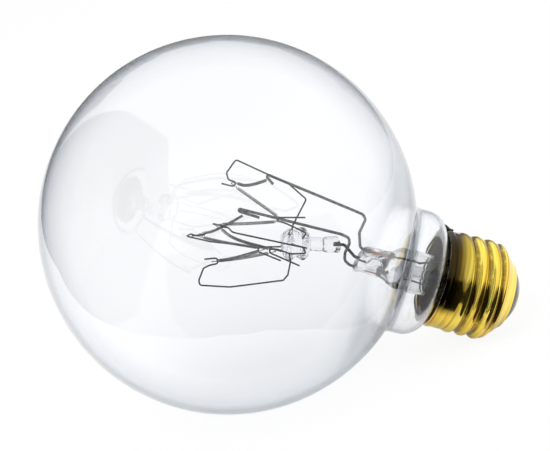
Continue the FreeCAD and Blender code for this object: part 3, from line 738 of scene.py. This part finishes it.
# %% Section of the thread
PITCH = 3.629
THREAD_ARC = 1.191

half_pitch = PITCH / 2
flank = half_pitch / 2
root_rise = THREAD_ARC - math.sqrt(THREAD_ARC ** 2 - flank ** 2)
THREAD_DEPTH = root_rise * 2


def groove(offset):
    """How deep the rolled groove lies at a distance along the axis from the nearest root."""
    gap = abs(offset)
    if gap < flank:
        return THREAD_DEPTH - (THREAD_ARC - math.sqrt(THREAD_ARC ** 2 - gap ** 2))
    return THREAD_ARC - math.sqrt(THREAD_ARC ** 2 - (half_pitch - gap) ** 2)


print("the thread is %.2f mm deep" % THREAD_DEPTH)

# %% Outline of the shell
CREST = 13.1
THREAD_PLACE = 4.2
THREAD_ROOTS = 4
SHOULDER_GAP = 0.213
KNEE_LENGTH = 2.5
KNEE_INSET = 2.6
LIP_LENGTH = 1.8
LIP_INSET = 4.2
LIP_WIDTH = 1.3
LIP_CREASE = 0.1
FIRST_ROOT = RIM + THREAD_PLACE
SHELL_SHOULDER = FIRST_ROOT + PITCH * (THREAD_ROOTS - 1) + SHOULDER_GAP
KNEE = SHELL_SHOULDER + KNEE_LENGTH
LIP = KNEE + LIP_LENGTH
LIP_EDGE = CREST - LIP_INSET
LIP_BORE = LIP_EDGE - LIP_WIDTH
RINGS_PER_MM = 6
FOOT_ARC = THREAD_ARC * 3
FOOT_RIPPLE = 0.14
FOOT_RIPPLES = 3


def even_points(first, last, steps):
    """Points from one place in an outline to another, without the first."""
    return [tuple(Vector(first).lerp(Vector(last), step / steps)) for step in range(1, steps + 1)]


fall = math.atan2(KNEE_INSET, KNEE - SHELL_SHOULDER)
land_end = SHELL_SHOULDER - FOOT_ARC * math.tan(fall / 2)
land_rings = int((land_end - RIM) * RINGS_PER_MM)
shell_outline = [(RIM, CREST)] + even_points((RIM, CREST), (land_end, CREST), land_rings)
foot = arc((land_end, CREST - FOOT_ARC), FOOT_ARC, 90, 90 - math.degrees(fall), 16)[1:]
foot += even_points(foot[-1], (KNEE, CREST - KNEE_INSET), 10)
foot += even_points(foot[-1], (LIP, LIP_EDGE), 10)
for step, (place, radius) in enumerate(foot):
    ripple = FOOT_RIPPLE * (1 - math.cos(step / len(foot) * math.tau * FOOT_RIPPLES)) / 2
    shell_outline.append((place, radius - ripple))
shell_outline += [(LIP, LIP_EDGE - LIP_CREASE), (LIP, LIP_BORE)]
print("the shell's outline has %d points" % len(shell_outline))

# %% Rolled shell
SHEET = 0.3
BAND_INSET = 0.4
BAND_FADE = 0.45
BAND = CREST - BAND_INSET
HELIX_PLACE = 3.28
HELIX_START = RIM + HELIX_PLACE
THREAD_STARTS = 0.45
THREAD_ENDS = 3.65
FADE_IN_BEFORE = 0.08
FADE_IN_AFTER = 0.15
FADE_OUT = 0.3
RIM_BEAD = 0.2
RIM_BEAD_PLACE = 1.4

shell_mesh = spun(shell_outline, steps=144)
for vert in shell_mesh.verts:
    around = math.atan2(-vert.co.y, vert.co.z) / math.tau % 1
    turn_place = (vert.co.x - HELIX_START) / PITCH - around
    nearest = round(turn_place)
    turn = nearest + around
    rolled_in = ease(turn, THREAD_STARTS - FADE_IN_BEFORE, THREAD_STARTS + FADE_IN_AFTER)
    rolled_in *= 1 - ease(turn, THREAD_ENDS - FADE_OUT, THREAD_ENDS)
    depth = groove((turn_place - nearest) * PITCH) * rolled_in
    blank = (CREST - BAND) * (1 - ease(turn_place, 0.0, BAND_FADE))
    blank -= RIM_BEAD * math.exp(-((vert.co.x - RIM - RIM_BEAD_PLACE) / RIM_BEAD) ** 2)
    out = Vector((0, vert.co.y, vert.co.z))
    vert.co -= out.normalized() * max(out.length - CREST + max(depth, blank), 0)
bmesh.ops.solidify(shell_mesh, geom=shell_mesh.faces, thickness=SHEET)
screw_shell = finish_piece("screw_shell_rolled", shell_mesh, rolled_brass, ["screw_shell"], sharp_degrees=60)

# %% [markdown]
# ## Foot of the base
#
# Black glass is moulded into the lip of the shell to keep the two contacts apart. A brass disc sits
# on it, and a bead of solder joins the lead to the disc. Another bead, dark with burnt flux, joins
# the other lead to the rim of the shell. Cement holds the shell to the glass. The black glass, the
# disc and the cement keep their CAD shapes. All these finishes are uneven in the same way: one noise
# varies the colour and the shine, and raises the surface.

# %% Foot materials


SWIRL = {"scale": 0.35, "Detail": 4.0}
GRIT = {"scale": 2.2, "Detail": 6.0, "Roughness": 0.7}
CRUST = {"scale": 1.2, "Detail": 5.0, "Roughness": 0.6}


def uneven_material(name, pattern, dark, pale, shine, depth_mm, **finish):
    """A noise varies the colour between two stops and the roughness over a range, and raises the surface."""
    material, nodes, links, shader = new_material(name)
    set_sizes(shader, **finish)
    spots = add_noise(nodes, links, **pattern)
    links.new(add_ramp(nodes, links, spots, [dark, pale]), shader.inputs["Base Color"])
    links.new(add_spread(nodes, links, spots, *shine), shader.inputs["Roughness"])
    add_bump(nodes, links, spots, shader, depth_mm)
    return material


def solder_material(name, dark, pale):
    """Solder that has set with a crust."""
    return uneven_material(name, CRUST, (0.35, dark), (0.65, pale), (0.25, 0.55), 0.12, Metallic=0.85)


black_glass = uneven_material(
    "black_glass", SWIRL, (0.3, (0.008, 0.008, 0.012)), (0.8, (0.03, 0.03, 0.04)), (0.08, 0.26), 0.15,
    Coat_Weight=0.4, Coat_Roughness=0.08)
cement = uneven_material(
    "basing_cement", GRIT, (0.3, (0.025, 0.018, 0.010)), (0.7, (0.09, 0.07, 0.04)), (0.75, 0.95), 0.2)
bright_solder = solder_material("bright_solder", (0.22, 0.22, 0.23), (0.58, 0.58, 0.60))
burnt_solder = solder_material("burnt_solder", (0.015, 0.013, 0.012), (0.10, 0.09, 0.08))
NODE_FINISH["insulator"] = black_glass
NODE_FINISH["centre_contact"] = rolled_brass
NODE_FINISH["basing_cement"] = cement
NODE_FINISH["exhaust_tube"] = stem_glass

# %% [markdown]
# ## Solder beads
#
# The two beads are spheres, flattened and made uneven, because solder never sets as a perfect dome.
# The one on the disc is cut flat where it lies on the brass.

# %% Solder beads
INSULATOR_HEIGHT = 2.3
CONTACT_SHEET = 0.4
CONTACT_FACE = LIP + INSULATOR_HEIGHT + CONTACT_SHEET
DOME = 2.944
DOME_HEIGHT = 0.8
SIDE_SOLDER_PLACE = Vector((RIM + 0.7, 0, BAND + 0.35))
SIDE_SOLDER_HALVES = (1.65, 0.825, 0.5)
SIDE_SOLDER_TILT = math.radians(32)
BEAD_LUMP = 0.14
BEAD_LUMP_WAVES = 1.7
BEAD_GRAIN = 0.04
BEAD_GRAIN_WAVES = 5


def bead(name, place, half_sizes, material, node, flat_from=None, tilt=0):
    """An uneven drop of solder: a sphere stretched to its half sizes, cut flat or tilted."""
    mesh = bmesh.new()
    bmesh.ops.create_icosphere(mesh, subdivisions=5, radius=1)
    for vert in mesh.verts:
        uneven = 1 + BEAD_LUMP * noise.noise(vert.co * BEAD_LUMP_WAVES + place)
        uneven += BEAD_GRAIN * noise.noise(vert.co * BEAD_GRAIN_WAVES)
        vert.co = Vector([side * half * uneven for side, half in zip(vert.co, half_sizes)])
    if flat_from is not None:
        plane = bmesh.ops.bisect_plane(
            mesh, geom=mesh.verts[:] + mesh.edges[:] + mesh.faces[:], plane_co=(flat_from, 0, 0),
            plane_no=(1, 0, 0), clear_inner=True)
        edges = [item for item in plane["geom_cut"] if isinstance(item, bmesh.types.BMEdge)]
        bmesh.ops.edgeloop_fill(mesh, edges=edges)
    laid = Matrix.Translation(place) @ Matrix.Rotation(tilt, 4, "Y")
    bmesh.ops.transform(mesh, matrix=laid, verts=mesh.verts)
    piece = finish_piece(name, mesh, material, [node], sharp_degrees=50)


bead("solder_dome", Vector((CONTACT_FACE, 0, 0)), (DOME_HEIGHT, DOME, DOME), bright_solder,
     "centre_solder", flat_from=0.0)
bead("solder_at_rim", SIDE_SOLDER_PLACE, SIDE_SOLDER_HALVES, burnt_solder, "side_solder",
     tilt=SIDE_SOLDER_TILT)

# %% Finishes of the nodes that keep their shape
for node_name, finish in NODE_FINISH.items():
    slots = frame["nodes"][node_name].data.materials
    for slot in range(len(slots)):
        slots[slot] = finish
print("finished nodes:", len(NODE_FINISH))

# %% [markdown]
# ## Floor
#
# The bulb lies on a sheet of white paper. The camera, and glass that looks through to the paper, see
# it mostly as plain white, with a share of the lit paper, so that a soft shadow stays. The sheet's
# edge bends round close in front of the bulb, where it can't be told from the white background. Only
# the globe shows it, as a faint arc in the glass.

# %% Floor
SHEET_CORNERS = [(-0.29, 0.14), (-0.16, 0.008), (-0.125, -0.032), (-0.08, -0.07), (-0.033, -0.084),
                 (0.0, -0.078), (0.02, -0.058), (0.034, -0.024), (0.047, -0.01), (0.08, -0.014),
                 (0.30, -0.12), (0.30, 0.9), (-0.29, 0.9)]
PAPER_WHITE = (0.93, 0.93, 0.93, 1)
PAPER_GLOW = 0.9
GLOW_THROUGH_GLASS = 0.5

paper_mesh = bmesh.new()
paper_mesh.faces.new([paper_mesh.verts.new((x, y, 0)) for x, y in SHEET_CORNERS])
floor_data = bpy.data.meshes.new("floor")
paper_mesh.to_mesh(floor_data)
paper_mesh.free()
floor = bpy.data.objects.new("floor", floor_data)
bpy.context.scene.collection.objects.link(floor)
paper, nodes, links, shader = new_material("white_paper")
set_sizes(shader, Base_Color=PAPER_WHITE, Roughness=0.9)
glow = nodes.new("ShaderNodeEmission")
set_sizes(glow, Color=(1, 1, 1, 1), Strength=1.0)
rays = nodes.new("ShaderNodeLightPath")
direct = sum_node(nodes, links, "MULTIPLY", rays.outputs["Is Camera Ray"], PAPER_GLOW)
through = sum_node(nodes, links, "MULTIPLY", rays.outputs["Is Transmission Ray"], GLOW_THROUGH_GLASS)
add_mix(nodes, links, sum_node(nodes, links, "MAXIMUM", direct, through), shader.outputs["BSDF"],
        glow.outputs["Emission"], nodes["Material Output"].inputs["Surface"])
floor.data.materials.append(paper)
print("the sheet of paper has %d corners" % len(SHEET_CORNERS))

# %% [markdown]
# ## Room
#
# The world is a different thing to each kind of ray. The camera sees white. What the lit surfaces
# gather is a pale sky, and glass looks through to white walls and a slightly greyer ceiling. Only
# what metal and glass mirror is a real room: light above and grey below, with dark shapes that draw
# the dark streaks on the brass and the grey shapes in the globe. Each shape is a polygon of
# directions. Each of its sides lies in a plane through the middle of the room, and a dot product
# tells on which side of that plane a direction is. A ray that glass bent counts as glossy too, so
# the mirrored rays are the glossy ones less those.

# %% Directions in the room
CARD_SOFTNESS = 0.02

world = bpy.data.worlds.new("studio")
bpy.context.scene.world = world
world.use_nodes = True
nodes, links = world.node_tree.nodes, world.node_tree.links
way = nodes.new("ShaderNodeTexCoord").outputs["Generated"]


def direction(azimuth, elevation):
    """A direction in the room: azimuth in degrees from the viewer towards the base, and elevation."""
    turn, rise = math.radians(azimuth), math.radians(elevation)
    return Vector((math.sin(turn) * math.cos(rise), -math.cos(turn) * math.cos(rise), math.sin(rise)))


def card_share(corners):
    """1 in the directions inside a polygon of corners, given clockwise, with soft edges, else 0."""
    ends = [direction(*corner) for corner in corners]
    inside = 1.0
    for first, second in zip(ends, ends[1:] + ends[:1]):
        normal = second.cross(first).normalized()
        distance = sum_node(nodes, links, "DOT_PRODUCT", way, normal, vector=True)
        side = smooth_step(nodes, links, distance, -CARD_SOFTNESS, CARD_SOFTNESS)
        inside = sum_node(nodes, links, "MULTIPLY", side, inside)
    return inside


def choose(share, first, second):
    """The first colour where the share is 0, the second where it is 1."""
    mix = nodes.new("ShaderNodeMix")
    mix.data_type = "RGBA"
    links.new(share, mix.inputs["Factor"])
    for name, colour in (("A", first), ("B", second)):
        if isinstance(colour, bpy.types.NodeSocket):
            links.new(colour, mix.inputs[name])
        else:
            mix.inputs[name].default_value = (colour, colour, colour, 1)
    return mix.outputs["Result"]


# %% Room that is mirrored
ROOM_LIGHT = 1.3
WALLS = [(0.0, 0.38), (0.32, 0.48), (0.58, 0.50), (0.70, 0.70), (0.80, 0.97), (1.0, 1.0)]
VERY_DARK = 0.97
HALF_DARK = 0.50
DARK_CARDS = [
    (VERY_DARK, [(-152, 22), (-138, 47), (-122, 66), (-90, 76), (-55, 69), (-34, 40), (-31, 26), (-50, 0),
                 (-58, -20), (-150, -22)]),
    (VERY_DARK, [(-38, 8), (20, 12), (62, 2), (78, -35), (45, -62), (-25, -62), (-46, -30)]),
    (HALF_DARK, [(-28, 26), (24, 26), (24, 6), (-28, 6)]),
]
FADING_CARDS = 6
FADING_DARKNESS = 0.95
FADING_LOSS = 0.1
FADING_EDGE = 209
FADING_WIDTH = 11
FADING_TOP = 25
FADING_DROP = 3
FADING_BOTTOM = -25

for step in range(FADING_CARDS):
    far = FADING_EDGE - FADING_WIDTH * step
    near = far - FADING_WIDTH
    top = FADING_TOP - FADING_DROP * step
    corners = [(near, top), (far, top), (far, FADING_BOTTOM), (near, FADING_BOTTOM)]
    DARK_CARDS.append((FADING_DARKNESS - FADING_LOSS * step, corners))

parts = nodes.new("ShaderNodeSeparateXYZ")
links.new(way, parts.inputs["Vector"])
lift = add_spread(nodes, links, parts.outputs["Z"], 0.0, 1.0, From_Min=-1.0)
room = add_ramp(nodes, links, lift, [(height, (grey,) * 3) for height, grey in WALLS])
for darkness, corners in DARK_CARDS:
    kept = sum_node(nodes, links, "MULTIPLY", card_share(corners), darkness)
    kept = sum_node(nodes, links, "SUBTRACT", 1.0, kept)
    room = sum_node(nodes, links, "MULTIPLY", room, kept, vector=True)
room = sum_node(nodes, links, "MULTIPLY", room, Vector((ROOM_LIGHT,) * 3), vector=True)
print("dark shapes in the room:", len(DARK_CARDS))

# %% What each kind of ray sees
SKY = 0.85
WALL_TOP = 0.70
CEILING_FROM = 0.84
CEILING = 0.8

ceiling = add_ramp(nodes, links, lift, [(WALL_TOP, (1.0,) * 3), (CEILING_FROM, (CEILING,) * 3)])
rays = nodes.new("ShaderNodeLightPath")
seen = choose(rays.outputs["Is Camera Ray"], SKY, 1.0)
seen = choose(rays.outputs["Is Transmission Ray"], seen, ceiling)
mirrored = sum_node(
    nodes, links, "SUBTRACT", rays.outputs["Is Glossy Ray"], rays.outputs["Is Transmission Ray"])
links.new(choose(mirrored, seen, room), nodes["Background"].inputs["Color"])
print("world nodes:", len(nodes))

# %% [markdown]
# ## Lamps
#
# Two soft boxes light the bulb, the stronger one from the upper left. They are hidden from mirrored
# and bent rays, because the room already holds all that the glass and the brass should show.

# %% Lamps


def soft_box(name, place, size, power):
    """A rectangular lamp aimed at the globe, with its place and size in metres."""
    lamp = bpy.data.lights.new(name, "AREA")
    lamp.shape = "RECTANGLE"
    lamp.size, lamp.size_y = size
    lamp.energy = power
    holder = bpy.data.objects.new(name, lamp)
    bpy.context.scene.collection.objects.link(holder)
    holder.location = place
    holder.rotation_euler = (globe_centre - Vector(place)).to_track_quat("-Z", "Y").to_euler()
    holder.visible_glossy = False
    holder.visible_transmission = False


soft_box("key", (-0.45, -0.55, 0.75), (0.45, 0.6), 5.0)
soft_box("fill", (0.7, -0.25, 0.55), (0.35, 0.5), 2.5)
